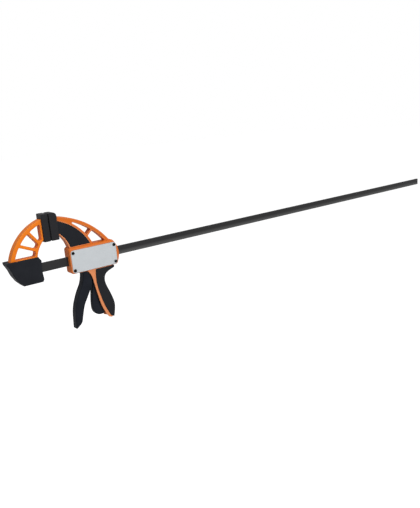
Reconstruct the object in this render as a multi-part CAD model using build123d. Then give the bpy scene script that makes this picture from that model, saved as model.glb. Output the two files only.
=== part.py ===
from build123d import *
import math
import os

# Quick release bar clamp with a nominal opening of 1250 mm. All sizes are in millimetres.
# The model is drawn with the bar's centre line at Z = 0 and the fixed pad's clamping face
# at X = 0, and every piece is exported with the origin at the centre of that face.
# +X runs along the bar to its free end, +Z points to the jaws, and Y is the thickness.

# Bar
bar_height = 20.0
bar_thickness = 6.0
bar_corner = 0.6
max_opening = 1250.0
rest_gap = 2.2                 # gap between the two pads as modelled
throat_height = 81.0           # bar centre line to pad centre
bar_nose_depth = 50.0          # length of bar held inside the fixed jaw's foot
bar_tail = 4.5                 # bar beyond the stop pin
stop_pin_radius = 1.5
stop_pin_overhang = 2.5        # how far the stop pin stands out of each side of the bar

# Clearances
running_clearance = 0.06       # pin in its bore, on the radius
slide_clearance = 0.3          # bar in the head and in the foot, on each side
seat_clearance = 0.3           # pieces that are pushed or moulded into place
touch_clearance = 0.2          # trigger on drive plates, release lever on brake plates

# Clamping pads
pad_height = 52.3
pad_crown = 7.9                # height of the cap above the clamping face
pad_width = 28.0
fixed_pad_depth = 14.5
moving_pad_depth = 17.6
pad_face_wall = 6.0            # rubber in front of the carrier
pad_side_wall = 3.2
pad_round = 2.0
moving_pad_shoulder = 7.6      # large round at the top back corner of the moving pad

# Fixed jaw frame: an open truss between an arch, a curved throat rail and a foot
jaw_width = 19.0
arch_radius = 114.0
arch_band = 8.6
arch_foot_x = -90.0
arch_head_x = -24.0
throat_radius = 58.9
throat_foot_x = -31.8
throat_rail = 4.9
foot_top_z = 28.0
foot_rail = 4.2
brace_width = 6.2
window_round = 2.2             # windows, at the arch
throat_round = 4.2             # windows, at the throat rail
window_reach = 0.01            # corners this near the throat rail count as on it
rail_round_share = 0.62        # largest of those rounds, as a share of the window's edge there
jaw_edge = 1.1

# Fixed jaw foot and the keel-shaped cover round it
foot_width = 19.4
foot_wall = 9.0                # foot above and below the bar
cover_wall = 2.6               # keel round the foot
cover_width = 30.0
cover_top_z = 26.5
cover_bottom_z = -28.5
cover_back_x = -101.4
cover_front_x = -27.0
cover_round = 1.8
jaw_pin_radius = 2.5
jaw_pin_bore = 1.5
jaw_pin_slot = 1.0

# Head body
body_front_x = 36.3
body_length = 122.2
body_top_z = 31.0
body_bottom_z = -28.6
body_width = 30.0
body_nose_round = 4.5
body_top_wall = 8.0
body_floor = 4.0
body_front_wall = 7.0
body_rear_wall = 13.0
body_corner = 6.0
tail_bulge = 8.0               # how far the rounded rear end stands out
boss_radius = 5.4
screw_inset_x = 4.85           # screws from the ends of the side plates
screw_inset_z = 5.95           # screws from their long edges
screw_radius = 2.0
screw_head_radius = 3.6
screw_head_height = 2.0
screw_socket_radius = 1.6
nut_across_flats = 7.0
nut_height = 3.0
plate_front_margin = 3.05      # body beyond the side plates, on their four sides
plate_rear_margin = 7.65
plate_top_margin = 6.25
plate_bottom_margin = 1.85
plate_thickness = 2.0
plate_proud = 0.4
plate_corner = 6.5

# Truss arm of the head
arm_width = 18.0
arm_radius = 180.0
arm_band = 8.2
arm_front_x = 18.6             # where the three arcs start, inside the pad
arm_tail_inset = 19.3          # rear end of the arm in front of the rear of the body
second_arc_radius = 126.0
second_arc_band = 5.4
second_arc_x = 98.0            # where the second arc meets the top of the body
inner_arc_radius = 60.0
inner_arc_x = 40.5             # where the inner edge of the arm meets the body
inner_arc_rim = 2.6
arm_brace_width = 3.8
cover_depth = 2.2              # depth of the black inlays in the arm
cover_proud = 0.8
carrier_wall = 6.5             # thickness of the pad carriers
carrier_margin = 4.5           # pad beyond its carrier, above and below

# Drive: trigger, its pin, two steel plates and their spring
trigger_pivot_x = 66.0
trigger_pivot_z = 17.0
trigger_pin_radius = 2.5
trigger_width = 21.0
trigger_cheek = 2.7
trigger_web = 5.0
trigger_round = 3.0
pivot_boss_radius = 5.4
nose_radius = 5.0
nose_drop = 25.0               # trigger pivot down to its nose
plate_front_x = 80.2
drive_plate_thickness = 2.6
drive_plate_half_height = 13.5
drive_plate_half_width = 9.5
plate_stack_gap = 0.1
drive_wire_radius = 0.8
drive_coil_radius = 11.7
drive_coil_turns = 4
rib_front_x = 103.0
rib_thickness = 3.5

# Brake: two leaning plates, their spring and the release lever
brake_pivot_x = 119.0
brake_pivot_z = 24.5
brake_lean = 3.0               # degrees, foot towards the fixed jaw
brake_plate_thickness = 2.5
brake_half_width = 8.0
brake_foot_z = -38.5
brake_coil_radius = 3.6
brake_wire_radius = 0.6
brake_coil_turns = 6
brake_spring_z = -17.5
brake_seat_depth = 6.0         # block behind the brake spring
brake_seat_half = 6.0
release_pivot_x = 101.0
release_pivot_z = -19.0
release_pin_radius = 2.0
release_width = 13.0
release_round = 2.2
release_boss_radius = 5.0
release_nose_z = -35.5
release_nose_radius = 2.5

# Handle: an open channel in the body moulding, with a soft rear grip
handle_width = 26.0
handle_wall = 2.2
grip_width = 30.0
grip_round = 4.5

# Small details
trigger_slot_front = 6.0       # floor opening in front of the trigger's pivot
brake_slot_rear = 3.6          # floor opening behind the brake plates' pivot
rail_overlap = 2.5             # foot rail beyond the jaw's openings, inside the cover
cover_lip = 3.0                # cover in front of the foot
cover_edge = 1.8
pad_overlap = 1.3              # throat rail inside the pad
throat_rise = 5.15             # pad base to the head of the throat curve
head_drop = 3.15               # pad top to the top of the fixed jaw
arch_head_drop = 2.8           # top of the jaw to the head of the arch
window_drop = 8.0
neck_lift = 12.0
arm_head_drop = 2.65
arm_throat_rise = 11.0
second_head_drop = 3.5
arm_window_mouth = 3.0         # height of the front window at its front end
arm_window_round = 1.3
arm_edge = 0.8
arm_root = 5.0                 # arm inside the roof of the body
pad_to_inlay = 0.6
throat_allowance = 2.0         # room in the pad's back below the head of the throat curve
inlay_lift = 1.4
inlay_round = 1.5
tail_rake = 6.0
ear_gap = 0.3
rib_bridge = 2.2
spring_end_gap = 0.1
plate_edge_round = 1.5
plate_bevel = 0.5
brake_plate_top = 1.8          # brake plate above its pivot line
brake_notch_gap = 0.6
trigger_back_round = 1.0
grip_front_round = 1.0

# What the driving dimensions settle
bar_half = bar_height / 2
side_half = bar_thickness / 2
body_rear_x = body_front_x + body_length
pad_base_z = throat_height - pad_height / 2
pad_top_z = throat_height + pad_height / 2
travel = max_opening - rest_gap
stop_pin_x = body_rear_x + travel + stop_pin_radius + slide_clearance
bar_end_x = stop_pin_x + bar_tail
bar_start_x = cover_front_x - bar_nose_depth
slot_half_height = bar_half + slide_clearance
slot_half_width = side_half + slide_clearance
plate_outer_y = body_width / 2 + plate_proud
plate_inner_y = plate_outer_y - plate_thickness
cavity_half = plate_inner_y
trigger_half = trigger_width / 2
handle_half = handle_width / 2
channel_half = handle_half - handle_wall
jaw_pin_x = (bar_start_x + cover_front_x) / 2
foot_half_height = bar_half + foot_wall
foot_rail_z = foot_top_z - foot_rail
foot_back_x = bar_start_x - foot_wall
foot_front_x = cover_front_x - cover_lip
rail_face_x = -fixed_pad_depth + pad_overlap
throat_head_z = pad_base_z + throat_rise
jaw_head_z = pad_top_z - head_drop
arch_head_z = jaw_head_z - arch_head_drop
window_top_z = jaw_head_z - window_drop
neck_top_z = arch_head_z
carrier_base_z = pad_base_z + carrier_margin
carrier_top_z = pad_top_z - carrier_margin / 2
carrier_half = pad_width / 2 - pad_side_wall
neck_half = arm_width / 2 - jaw_edge
neck_base_z = throat_head_z + neck_lift
fixed_carrier_front = -pad_face_wall
fixed_carrier_back = fixed_carrier_front - carrier_wall
moving_carrier_front = rest_gap + pad_face_wall
moving_carrier_back = moving_carrier_front + carrier_wall
moving_pad_back = rest_gap + moving_pad_depth
arm_head_z = pad_top_z - arm_head_drop
arm_throat_z = pad_base_z + arm_throat_rise
second_head_z = arm_head_z - second_head_drop
arm_tail_x = body_rear_x - arm_tail_inset
plate_length = body_length - plate_front_margin - plate_rear_margin
plate_height = body_top_z - body_bottom_z - plate_top_margin - plate_bottom_margin
screw_spacing_x = plate_length - 2 * screw_inset_x
screw_spacing_z = plate_height - 2 * screw_inset_z
screw_centre_x = body_front_x + plate_front_margin + plate_length / 2
screw_centre_z = body_bottom_z + plate_bottom_margin + plate_height / 2
cavity_front_x = body_front_x + body_front_wall
cavity_rear_x = body_rear_x - body_rear_wall
brake_seat_x = cavity_rear_x - brake_seat_depth
cavity_top_z = body_top_z - body_top_wall
cavity_floor_z = body_bottom_z + body_floor
ear_inner = trigger_half + ear_gap
nose_z = trigger_pivot_z - nose_drop
nose_x = plate_front_x - touch_clearance - nose_radius
drive_stack_back_x = plate_front_x + 2 * drive_plate_thickness + plate_stack_gap
rib_foot_z = -slot_half_height - rib_bridge
floor_slot_front_x = trigger_pivot_x - trigger_slot_front
floor_slot_rear_x = brake_pivot_x + brake_slot_rear
brake_stack_half = brake_plate_thickness + plate_stack_gap / 2
brake_lean_radians = math.radians(brake_lean)
brake_slot_half = (bar_half + brake_stack_half * math.sin(brake_lean_radians)
                   + slide_clearance) / math.cos(brake_lean_radians)
brake_notch_top_z = brake_pivot_z + brake_plate_top + seat_clearance
brake_notch_front_x = brake_pivot_x - brake_stack_half - brake_notch_gap
brake_notch_rear_x = brake_pivot_x + brake_stack_half + brake_notch_gap
brake_spring_x = (brake_pivot_x + brake_stack_half + spring_end_gap
                  - (brake_pivot_z - brake_spring_z - brake_coil_radius)
                  * math.tan(brake_lean_radians))
release_nose_x = (brake_pivot_x - brake_stack_half / math.cos(brake_lean_radians)
                  - (brake_pivot_z - release_nose_z) * math.tan(brake_lean_radians)
                  - touch_clearance)


def jaw_rise(share):
    """Height of a point of the fixed jaw, from 0 at the foot's top to 1 at the jaw's head."""
    return foot_top_z + share * (jaw_head_z - foot_top_z)


# Fixed jaw: braces across the truss and the outline of the keel, as (X, Z). Braces give X
# and the height as a share of the way from the foot's top to the jaw's head.
fixed_braces = (((-26.6, jaw_rise(0.382)), (-43.9, jaw_rise(0.684))),
                ((-35.0, jaw_rise(0.180)), (-70.0, jaw_rise(0.383))))
keel_outline = [(cover_back_x, cover_top_z), (cover_back_x + 1.6, 20.0), (-94.0, 9.0),
                (-89.3, -4.5), (-81.4, -18.5), (-72.4, cover_bottom_z),
                (cover_front_x - 3.0, cover_bottom_z), (cover_front_x, -23.5),
                (cover_front_x - 1.5, -9.0), (cover_front_x - 1.2, 11.0),
                (cover_front_x, 18.0), (cover_front_x - 6.0, cover_top_z)]

# Arm: the brace between its two arcs
arm_brace = ((86.2, body_top_z + 19.6), (100.6, body_top_z + 33.2))

# Handle, grip, trigger and release lever in side view, as (X, Z)
handle_front = [(72.2, body_bottom_z + 1.0), (78.9, -34.4), (83.7, -44.9), (86.6, -59.9),
                (90.2, -79.9), (94.6, -102.8), (100.7, -124.0), (107.8, -139.5), (113.0, -148.5)]
handle_back = [(120.0, -151.0), (125.0, -147.0), (128.0, -134.5), (128.7, -120.5),
               (125.4, -105.0), (118.7, -86.0), (112.1, -67.4), (110.9, -57.3),
               (115.2, -44.0), (124.5, -37.5), (136.0, -34.0), (136.5, body_bottom_z + 1.0)]
channel_back = [(122.6, body_bottom_z + 2.0), (121.8, -38.5), (112.0, -45.0), (107.7, -57.3),
                (109.0, -67.8), (115.5, -87.0), (122.0, -106.0), (125.2, -120.5), (124.4, -132.0)]
channel_toe_x = 117.5
grip_front = [(94.3, body_bottom_z), (92.7, -40.0), (92.2, -56.5), (94.5, -76.2),
              (99.3, -96.8), (105.5, -118.0), (112.4, -134.7), (118.0, -146.0)]
grip_back = [(140.8, -35.0), (128.0, -39.6), (118.6, -45.6), (114.4, -57.3), (115.6, -67.2),
             (122.2, -85.9), (128.9, -104.8), (132.1, -120.5), (130.7, -136.0), (126.8, -151.5)]
tang_x = 141.2
toe_x = 113.0
far_below_z = 2 * grip_back[-1][1]
trigger_front = [(64.2, body_bottom_z), (61.7, -47.8), (57.6, -59.5), (50.8, -71.3),
                 (43.8, -86.2), (38.7, -99.1), (34.3, -117.1), (32.4, -138.3), (31.6, -150.0)]
trigger_tip = [(31.6, -150.0), (31.6, -156.2), (43.4, -147.0), (47.5, -141.0)]
trigger_back = [(47.5, -141.0), (52.9, -121.0), (59.1, -103.4), (67.5, -88.9), (74.6, -76.5),
                (81.8, -62.9), (82.9, -50.0), (79.3, -38.0), (76.0, body_bottom_z)]
groove_foot_z = -140.0
web_top_z = -17.0
release_front = [(88.5, -46.0), (86.2, -60.0), (82.9, -76.7), (80.1, -95.2), (78.6, -114.2),
                 (79.6, -125.4), (83.6, -133.3), (90.6, -138.3)]
release_tip = [(98.5, -139.6), (106.5, -138.4)]
release_back = [(106.6, -127.0), (102.0, -108.0), (98.9, -92.0), (98.0, -75.0), (100.0, -57.0),
                (104.5, -42.0)]


def block(x_low, x_high, y_half, z_low, z_high):
    middle = Pos((x_low + x_high) / 2, 0, (z_low + z_high) / 2)
    return middle * Box(x_high - x_low, 2 * y_half, z_high - z_low)


def region(x_low, x_high, z_low, z_high):
    middle = Pos((x_low + x_high) / 2, (z_low + z_high) / 2)
    return middle * Rectangle(x_high - x_low, z_high - z_low)


def slab(sketch, y_low, y_high):
    """Extrudes a sketch drawn in X and Z from y_low to y_high."""
    return extrude(Plane.XZ.offset(-y_high) * sketch, amount=y_high - y_low)


def cross_rod(x, z, radius, y_low, y_high):
    return Pos(x, (y_low + y_high) / 2, z) * Rot(90, 0, 0) * Cylinder(radius, y_high - y_low)


def polygon(points):
    return make_face(Polyline(*points, close=True))


def strip(start, end, width):
    """A straight brace of the given width, running a little past both ends."""
    middle = Pos((start[0] + end[0]) / 2, (start[1] + end[1]) / 2)
    angle = math.degrees(math.atan2(end[1] - start[1], end[0] - start[0]))
    return middle * Rot(0, 0, angle) * Rectangle(math.dist(start, end) + 2 * width, width)


def arc_centre(start, end, radius):
    """Centre of the arc through two points that lies to the right of start-to-end."""
    chord = math.dist(start, end)
    rise = math.sqrt(radius ** 2 - chord ** 2 / 4)
    along = ((end[0] - start[0]) / chord, (end[1] - start[1]) / chord)
    middle = ((start[0] + end[0]) / 2, (start[1] + end[1]) / 2)
    return (middle[0] + rise * along[1], middle[1] - rise * along[0])


def disc(centre, radius):
    return Pos(*centre) * Circle(radius)


def round_corners(sketch, radius):
    return fillet(sketch.vertices(), radius)


def bar_slot(x_low, x_high):
    return block(x_low, x_high, slot_half_width, -slot_half_height, slot_half_height)


def make_bar():
    bar = block(bar_start_x, bar_end_x, side_half, -bar_half, bar_half)
    bar = chamfer(bar.edges().filter_by(Axis.X), bar_corner)
    bar -= cross_rod(stop_pin_x, 0, stop_pin_radius, -bar_thickness, bar_thickness)
    bar -= cross_rod(jaw_pin_x, 0, jaw_pin_radius, -bar_thickness, bar_thickness)
    return bar


def make_stop_pin():
    reach = side_half + stop_pin_overhang
    pin = cross_rod(stop_pin_x, 0, stop_pin_radius, -reach, reach)
    return chamfer(pin.edges(), stop_pin_radius / 5)


def make_jaw_pin():
    """A rolled spring pin, slit along its length."""
    reach = foot_width / 2
    pin = cross_rod(jaw_pin_x, 0, jaw_pin_radius, -reach, reach)
    pin -= cross_rod(jaw_pin_x, 0, jaw_pin_bore, -cover_width, cover_width)
    return pin - block(jaw_pin_x, cover_front_x, cover_width, -jaw_pin_slot / 2, jaw_pin_slot / 2)


def round_window(window, throat):
    """Rounds one opening; its edge on the throat rail limits the two rounds there."""
    rail_reach = throat_radius + throat_rail + window_reach
    at_rail = window.vertices().filter_by(lambda v: math.dist((v.X, v.Y), throat) < rail_reach)
    others = window.vertices().filter_by(lambda v: math.dist((v.X, v.Y), throat) > rail_reach)
    rail_limit = rail_round_share * math.dist(*[(v.X, v.Y) for v in at_rail])
    window = window.fillet_2d(window_round, others)
    at_rail = window.vertices().filter_by(lambda v: math.dist((v.X, v.Y), throat) < rail_reach)
    return window.fillet_2d(min(throat_round, rail_limit), at_rail)


def fixed_jaw_windows(arch, throat):
    """The three openings between the arch, the throat rail, the foot rail and two braces."""
    area = disc(arch, arch_radius - arch_band)
    area &= region(arch_foot_x, rail_face_x - throat_rail, foot_top_z, window_top_z)
    area -= disc(throat, throat_radius + throat_rail)
    for low, high in fixed_braces:
        area -= strip(low, high, brace_width)
    windows = [round_window(window, throat) for window in area.faces()]
    return Sketch() + windows


def foot_area(gap):
    """Side view of the fixed jaw's foot, kept inside the keel, or of its pocket with a gap."""
    inner = offset(polygon(keel_outline), gap - cover_wall - seat_clearance, kind=Kind.INTERSECTION)
    upright = region(foot_back_x - gap, foot_front_x + gap, -foot_half_height - gap, cover_top_z)
    top = region(foot_back_x - gap, foot_front_x + gap, 0, foot_rail_z + 1)
    return (upright & inner) + (top & region(arch_foot_x, foot_front_x + gap, 0, 2 * cover_top_z))


def make_fixed_jaw_frame():
    arch = arc_centre((arch_foot_x, foot_top_z), (arch_head_x, arch_head_z), arch_radius)
    throat = arc_centre((throat_foot_x, foot_top_z), (rail_face_x, throat_head_z), throat_radius)
    outline = disc(arch, arch_radius)
    outline &= region(2 * arch_foot_x, rail_face_x, foot_rail_z, jaw_head_z)
    outline -= disc(throat, throat_radius)
    truss = slab(outline - fixed_jaw_windows(arch, throat), -jaw_width / 2, jaw_width / 2)
    truss = chamfer(truss.faces().filter_by(Axis.Y).edges(), jaw_edge)
    neck = block(rail_face_x - 1, fixed_carrier_back, neck_half, neck_base_z, neck_top_z)
    carrier = block(fixed_carrier_back, fixed_carrier_front, carrier_half, carrier_base_z, carrier_top_z)
    frame = truss + neck + carrier + slab(foot_area(0), -foot_width / 2, foot_width / 2)
    frame -= bar_slot(bar_start_x, cover_front_x + 1)
    return frame - cross_rod(jaw_pin_x, 0, jaw_pin_radius, -foot_width, foot_width)


def make_fixed_jaw_cover():
    """The keel-shaped shell that wraps the foot of the fixed jaw."""
    keel = round_corners(polygon(keel_outline), cover_round)
    shell = slab(keel, -cover_width / 2, cover_width / 2)
    sides = shell.faces().filter_by(Axis.Y).edges()
    shell = fillet(sides, cover_edge)
    gap = seat_clearance
    half = foot_width / 2 + gap
    pocket = slab(foot_area(gap), -half, half)
    pocket += block(foot_back_x - gap, foot_front_x + gap, half, 0, cover_top_z + 1)
    rail_seat = block(arch_foot_x - rail_overlap, throat_foot_x + rail_overlap,
                      jaw_width / 2 + gap, foot_rail_z - gap, cover_top_z + 1)
    return shell - pocket - rail_seat - bar_slot(bar_start_x, cover_front_x + 1)


def pad_shell(x_face, x_back, back_round):
    """A boot from its clamping face at x_face to its back at x_back, with a crowned top."""
    low, high = min(x_face, x_back), max(x_face, x_back)
    side = region(low, high, pad_base_z, pad_top_z + pad_crown)
    corner = side.vertices().group_by(Axis.Y)[-1]
    face_corner = corner.sort_by_distance((x_face, pad_top_z))[0]
    back_corner = corner.sort_by_distance((x_back, pad_top_z))[0]
    side = fillet(face_corner, pad_round)
    side = fillet(side.vertices().sort_by_distance(back_corner)[0], back_round)
    boot = slab(side, -pad_width / 2, pad_width / 2)
    upright = boot.edges().filter_by(Axis.Z)
    return fillet(upright, pad_round)


def make_fixed_pad():
    boot = pad_shell(0, -fixed_pad_depth, pad_round)
    gap = seat_clearance
    boot -= block(fixed_carrier_back - gap, fixed_carrier_front + gap, carrier_half + gap,
                  carrier_base_z - gap, carrier_top_z + gap)
    return boot - block(-fixed_pad_depth - 1, fixed_carrier_back, jaw_width / 2 + gap,
                        throat_head_z - throat_allowance, jaw_head_z + gap)


def make_moving_pad():
    boot = pad_shell(rest_gap, moving_pad_back, moving_pad_shoulder)
    gap = seat_clearance
    boot -= block(moving_carrier_front - gap, moving_carrier_back + gap, carrier_half + gap,
                  carrier_base_z - gap, carrier_top_z + gap)
    _, _, inner = arm_arcs()
    arm_base_z = circle_top(inner, inner_arc_radius, moving_pad_back)
    return boot - block(moving_carrier_back, moving_pad_back + 1, arm_width / 2 + gap,
                        arm_base_z - gap, arm_head_z + gap)


def arm_arcs():
    """Centres of the outer, second and inner arcs of the arm."""
    outer = arc_centre((arm_front_x, arm_head_z), (arm_tail_x, body_top_z), arm_radius)
    second = arc_centre((arm_front_x, second_head_z), (second_arc_x, body_top_z),
                        second_arc_radius)
    inner = arc_centre((arm_front_x, arm_throat_z), (inner_arc_x, body_top_z), inner_arc_radius)
    return outer, second, inner


def circle_top(centre, radius, x):
    return centre[1] + math.sqrt(radius ** 2 - (x - centre[0]) ** 2)


def window_front(outer, second):
    """The X at which the outer arc stands arm_window_mouth above the second arc."""
    low, high = moving_pad_back, second_arc_x
    for _ in range(40):
        middle = (low + high) / 2
        height = (circle_top(outer, arm_radius - arm_band, middle)
                  - circle_top(second, second_arc_radius, middle))
        low, high = (low, middle) if height > arm_window_mouth else (middle, high)
    return low


def arm_windows(outer, second):
    """The two openings between the outer arc, the second arc and the body."""
    area = disc(outer, arm_radius - arm_band)
    area &= region(window_front(outer, second), arm_tail_x, body_top_z, arm_head_z)
    area -= disc(second, second_arc_radius)
    area -= strip(*arm_brace, arm_brace_width)
    return round_corners(area, arm_window_round)


def inlay_area(second, inner, inset):
    """The recess in the arm's side, or the inlay that fills it when inset is positive."""
    area = disc(second, second_arc_radius - second_arc_band - inset)
    area &= region(moving_pad_back + pad_to_inlay + inset, arm_tail_x,
                   body_top_z + inlay_lift + inset, arm_head_z)
    area -= disc(inner, inner_arc_radius + inner_arc_rim + inset)
    return round_corners(area, inlay_round)


def make_arm():
    outer, second, inner = arm_arcs()
    outline = disc(outer, arm_radius)
    outline &= region(moving_pad_back - 1, 2 * arm_tail_x, body_top_z - arm_root, 2 * arm_head_z)
    outline -= disc(inner, inner_arc_radius)
    arm = slab(outline - arm_windows(outer, second), -arm_width / 2, arm_width / 2)
    arm = chamfer(arm.faces().filter_by(Axis.Y).edges(), arm_edge)
    recess = inlay_area(second, inner, 0)
    arm -= slab(recess, arm_width / 2 - cover_depth, arm_width / 2 + 1)
    arm -= slab(recess, -arm_width / 2 - 1, -arm_width / 2 + cover_depth)
    neck = block(moving_carrier_back, moving_pad_back, neck_half, arm_throat_z, arm_head_z - 1)
    carrier = block(moving_carrier_front, moving_carrier_back, carrier_half,
                    carrier_base_z, carrier_top_z)
    return arm + neck + carrier


def make_arm_inlay(side):
    _, second, inner = arm_arcs()
    low = arm_width / 2 - cover_depth
    high = arm_width / 2 + cover_proud
    area = inlay_area(second, inner, seat_clearance)
    inlay = slab(area, low, high) if side > 0 else slab(area, -high, -low)
    outer_face = inlay.faces().filter_by(Axis.Y).sort_by(Axis.Y)[-1 if side > 0 else 0]
    return fillet(outer_face.edges(), cover_proud * 0.9)


def body_outline():
    """Side view of the body box, with a bulged tail."""
    tail_x = body_rear_x - tail_bulge
    bottom = Line((body_front_x, body_bottom_z), (tail_x, body_bottom_z))
    tail = ThreePointArc(bottom @ 1, (body_rear_x, 0), (tail_x - tail_rake, body_top_z))
    top = Line(tail @ 1, (body_front_x, body_top_z))
    front = Line(top @ 1, bottom @ 0)
    side = make_face([bottom, tail, top, front])
    return round_corners(side, body_corner)


def screw_places():
    for x in (-screw_spacing_x / 2, screw_spacing_x / 2):
        for z in (-screw_spacing_z / 2, screw_spacing_z / 2):
            yield screw_centre_x + x, screw_centre_z + z


def plate_area(inset):
    plate = Pos(screw_centre_x, screw_centre_z)
    plate *= Rectangle(plate_length - 2 * inset, plate_height - 2 * inset)
    return fillet(plate.vertices(), plate_corner - inset)


def make_body_box():
    box = slab(body_outline(), -body_width / 2, body_width / 2)
    nose = box.edges().filter_by(Axis.Z).group_by(Axis.X)[0]
    box = fillet(nose, body_nose_round)
    for low, high in ((cavity_half, body_width), (-body_width, -cavity_half)):
        box -= slab(plate_area(-seat_clearance), low, high)
    hollow = region(cavity_front_x, cavity_rear_x, cavity_floor_z, cavity_top_z)
    for x, z in screw_places():
        hollow -= disc((x, z), boss_radius)
    box -= slab(hollow, -body_width, body_width)
    return box


def handle_outline():
    """Side view of the handle moulding, from the body down to its pointed toe."""
    front = Spline(*handle_front)
    back = Spline(*handle_back)
    return make_face([front, Line(front @ 1, back @ 0), back, Line(back @ 1, front @ 0)])


def rims_along(solid, curve):
    """The two edges that a drawn curve leaves on the sides of its slab."""
    middle = curve @ 0.5
    return solid.edges().filter_by(
        lambda edge: math.hypot((edge @ 0.5).X - middle.X, (edge @ 0.5).Z - middle.Y) < 0.01)


def channel_area():
    """The hollow of the handle, open to the front and at the foot."""
    back = Spline(*channel_back)
    mouth = Polyline(back @ 1, (channel_toe_x, far_below_z), (0, far_below_z),
                     (0, channel_back[0][1]), back @ 0)
    return make_face([back, mouth])


def ear(side, low, x, z, radius, wall_z):
    """A lug with a pin bore, joined to the roof or the floor of the cavity at wall_z."""
    web = region(x - radius, x + radius, min(z, wall_z), max(z, wall_z))
    lug = disc((x, z), radius) + web
    return slab(lug, low, cavity_half) if side > 0 else slab(lug, -cavity_half, -low)


def make_body_frame():
    body = make_body_box() + make_arm()
    handle = slab(handle_outline(), -handle_half, handle_half)
    body += handle - slab(channel_area(), -channel_half, channel_half)
    body -= block(floor_slot_front_x, floor_slot_rear_x, channel_half,
                  body_bottom_z - 1, cavity_floor_z + 1)
    for side in (-1, 1):
        body += ear(side, ear_inner, trigger_pivot_x, trigger_pivot_z,
                    pivot_boss_radius, cavity_top_z + 1)
        body += ear(side, ear_inner, release_pivot_x, release_pivot_z,
                    release_boss_radius, body_bottom_z + 1)
    body += block(rib_front_x, rib_front_x + rib_thickness, cavity_half, rib_foot_z, cavity_top_z + 1)
    body += block(brake_seat_x, cavity_rear_x + 1, brake_seat_half,
                  body_bottom_z + 1, -slot_half_height - rib_bridge)
    body -= block(brake_notch_front_x, brake_notch_rear_x, brake_half_width + seat_clearance,
                  cavity_top_z - 1, brake_notch_top_z)
    body -= bar_slot(body_front_x - 1, body_rear_x + 1)
    bore = running_clearance
    for x, z in screw_places():
        body -= cross_rod(x, z, screw_radius + bore, -body_width, body_width)
    body -= cross_rod(trigger_pivot_x, trigger_pivot_z, trigger_pin_radius + bore,
                      -cavity_half - 1, cavity_half + 1)
    return body - cross_rod(release_pivot_x, release_pivot_z, release_pin_radius + bore,
                            -cavity_half - 1, cavity_half + 1)


def make_grip():
    """The soft grip moulded round the rear of the handle, with a tang under the body."""
    top = Line(grip_front[0], (tang_x, body_bottom_z))
    tang = Line(top @ 1, grip_back[0])
    back = Spline(*grip_back)
    toe = Line(back @ 1, grip_front[-1])
    front = Spline(*reversed(grip_front))
    side = make_face([top, tang, back, toe, front])
    grip = slab(side, -grip_width / 2, grip_width / 2)
    grip = fillet(rims_along(grip, back), grip_round)
    grip = fillet(rims_along(grip, front), grip_front_round)
    return grip - slab(handle_outline(), -handle_half, handle_half)


def trigger_curves():
    """Front, tip and back of the trigger blade in side view."""
    front = Spline(*trigger_front)
    tip = Polyline(*trigger_tip)
    back = Spline(*trigger_back)
    return front, tip, back


def trigger_head():
    """Side view of the two cheeks that pass the bar and carry the pivot and the noses."""
    neck = polygon([trigger_front[0], trigger_back[-1], (nose_x, nose_z),
                    (trigger_pivot_x + pivot_boss_radius, trigger_pivot_z),
                    (trigger_pivot_x - pivot_boss_radius, trigger_pivot_z)])
    pivot = disc((trigger_pivot_x, trigger_pivot_z), pivot_boss_radius)
    return neck + pivot + disc((nose_x, nose_z), nose_radius)


def make_trigger():
    """A channel-shaped blade, open at the back, with a forked head round the bar."""
    front, tip, back = trigger_curves()
    blade = slab(make_face([front, tip, back, Line(back @ 1, front @ 0)]),
                 -trigger_half, trigger_half)
    blade = fillet(rims_along(blade, front), trigger_round)
    blade = fillet(rims_along(blade, back), trigger_back_round)
    inner = trigger_half - trigger_cheek
    groove_front = Spline(*[(x + trigger_web, z) for x, z in trigger_front])
    groove = make_face([groove_front,
                        Polyline(groove_front @ 1, (2 * toe_x, trigger_front[-1][1]),
                                 (2 * toe_x, trigger_front[0][1]), groove_front @ 0)])
    groove &= region(0, 2 * toe_x, groove_foot_z, trigger_front[0][1])
    blade -= slab(groove, -inner, inner)
    head = slab(trigger_head(), -trigger_half, trigger_half)
    head -= slab(region(0, 2 * toe_x, web_top_z, 2 * throat_height), -inner, inner)
    trigger = blade + head
    web_back = block(trigger_front[0][0] + trigger_web, 2 * toe_x, inner,
                     trigger_front[0][1] - 1, web_top_z)
    trigger -= web_back
    return trigger - cross_rod(trigger_pivot_x, trigger_pivot_z,
                               trigger_pin_radius + running_clearance,
                               -trigger_width, trigger_width)


def make_pin(x, z, radius):
    """A plain steel pin across the cavity, held between the two side plates."""
    reach = cavity_half - seat_clearance
    pin = cross_rod(x, z, radius, -reach, reach)
    return chamfer(pin.edges(), radius / 5)


def make_drive_plates():
    """Two hardened plates side by side on the bar, each with its rectangular hole."""
    stack = []
    for place in range(2):
        front = plate_front_x + place * (drive_plate_thickness + plate_stack_gap)
        plate = block(front, front + drive_plate_thickness, drive_plate_half_width,
                      -drive_plate_half_height, drive_plate_half_height)
        plate = fillet(plate.edges().filter_by(Axis.X), plate_edge_round)
        stack.append(plate - bar_slot(front - 1, front + drive_plate_thickness + 1))
    return Compound(stack)


def make_brake_plates():
    """Two plates that hang in the roof's notch and lean to bite the bar."""
    slot_half = brake_slot_half
    stack = []
    for place in (-1, 1):
        middle = place * (brake_plate_thickness + plate_stack_gap) / 2
        low = middle - brake_plate_thickness / 2
        plate = block(low, low + brake_plate_thickness, brake_half_width,
                      brake_foot_z - brake_pivot_z, brake_plate_top)
        plate = fillet(plate.edges().filter_by(Axis.X), plate_edge_round)
        plate -= block(low - 1, low + brake_plate_thickness + 1, slot_half_width,
                       -brake_pivot_z - slot_half, -brake_pivot_z + slot_half)
        stack.append(Pos(brake_pivot_x, 0, brake_pivot_z) * Rot(0, brake_lean, 0) * plate)
    return Compound(stack)


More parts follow.
